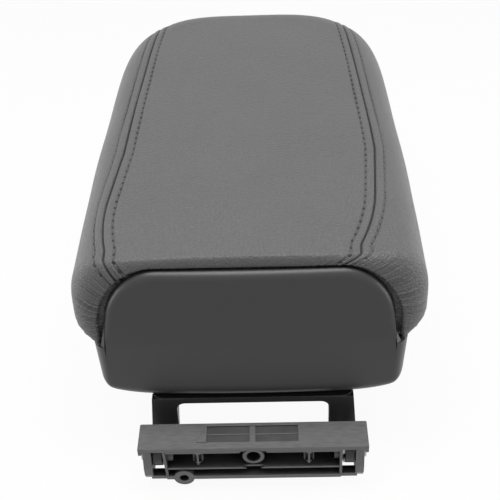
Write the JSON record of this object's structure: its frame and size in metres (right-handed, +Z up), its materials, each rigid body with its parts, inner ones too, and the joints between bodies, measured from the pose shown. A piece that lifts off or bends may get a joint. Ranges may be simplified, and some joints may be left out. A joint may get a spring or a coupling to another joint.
{
  "type": "center console armrest lid",
  "caption": "Padded console armrest lid: sewn leather pad on a moulded shell, hinged on goose-neck arms to a ribbed base, with a latch at the nose.",
  "frame": {"origin": "middle of the flat rear edge of the hinge base's bottom wall, which rests on the console", "axes": "+X to the right seen from the rear, +Y forward from the hinge to the nose, +Z up; the lid is closed"},
  "size_m": [0.1652, 0.3009, 0.1147],
  "materials": {
    "leather": "satin",
    "foam": "matte",
    "shell_plastic": "matte",
    "base_plastic": "matte",
    "black_plastic": "matte",
    "steel": "satin",
    "rubber": "matte"
  },
  "bodies": {
    "hinge_base_body": {"hinge_base": "base_plastic", "hinge_pin_left": "steel", "hinge_pin_right": "steel"},
    "lid": {"hinge_bracket": "black_plastic", "hinge_bush_left": "base_plastic", "hinge_bush_right": "base_plastic", "bracket_screw_rear_left": "steel", "bracket_screw_rear_right": "steel", "bracket_screw_front_left": "steel", "bracket_screw_front_right": "steel", "lower_shell": "shell_plastic", "shell_screw_rear_left": "steel", "shell_screw_rear_right": "steel", "shell_screw_front_left": "steel", "shell_screw_front_right": "steel", "pad_board": "black_plastic", "foam_pad": "foam", "centre_panel": "leather", "left_side_panel": "leather", "right_side_panel": "leather", "bumper_left": "rubber", "bumper_right": "rubber", "latch_pin": "steel", "latch_spring": "steel"},
    "latch": {"latch_paddle": "black_plastic"}
  },
  "joints": [
    {"name": "lid_hinge", "type": "hinge", "parent": "hinge_base_body", "child": "lid", "pos_m": [0, 0.007, 0.0105], "axis": [1, 0, 0], "range_deg": [0, 85]},
    {"name": "latch_pivot", "type": "hinge", "parent": "lid", "child": "latch", "pos_m": [0, 0.271, 0.0553], "axis": [1, 0, 0], "range_deg": [0, 18], "stiffness_Nm_per_rad": 0.05, "deforming": ["latch_spring"]}
  ]
}
